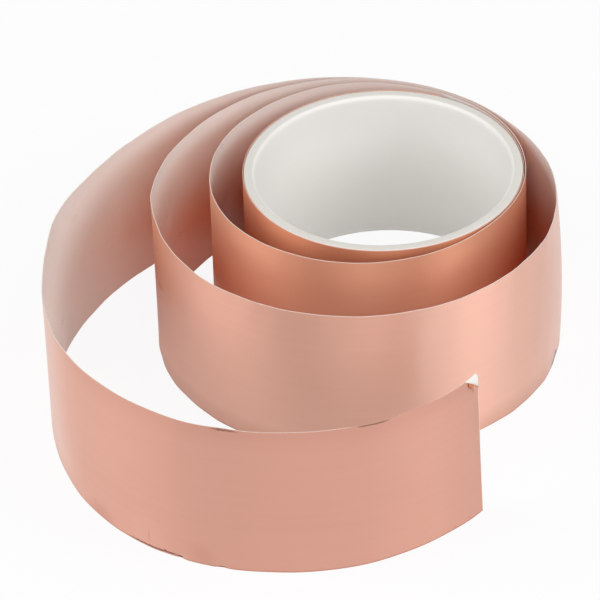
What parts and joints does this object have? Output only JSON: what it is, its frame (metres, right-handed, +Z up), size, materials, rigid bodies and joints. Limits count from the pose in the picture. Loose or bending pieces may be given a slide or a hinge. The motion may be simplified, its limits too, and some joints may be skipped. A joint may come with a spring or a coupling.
{
  "type": "copper foil tape roll",
  "caption": "Roll of copper foil tape, copper outside and white paper liner inside, its outer turns sprung loose around a round core with a spindle bore.",
  "frame": {"origin": "on the axis of the core's bore, at the middle of its length", "axes": "+Z up along the core's axis, -Y towards the side where the tape's free end lies, +X to the right of it"},
  "size_m": [0.1515, 0.1768, 0.05],
  "materials": {
    "core": "satin",
    "copper": "satin",
    "adhesive": "gloss",
    "liner": "satin"
  },
  "bodies": {
    "spool": {"core": "core"},
    "tape_coil": {"copper_foil": "copper", "adhesive_film": "adhesive", "release_liner": "liner"},
    "liner_end": {"liner_tab": "liner"}
  },
  "joints": [
    {"name": "coil_turn", "type": "hinge", "parent": "spool", "child": "tape_coil", "pos_m": [0, 0, 0], "axis": [0, 0, 1], "continuous": true},
    {"name": "liner_peel", "type": "hinge", "parent": "tape_coil", "child": "liner_end", "pos_m": [0.01547, -0.11071, 0], "axis": [0, 0, 1], "range_deg": [0, 150]}
  ]
}
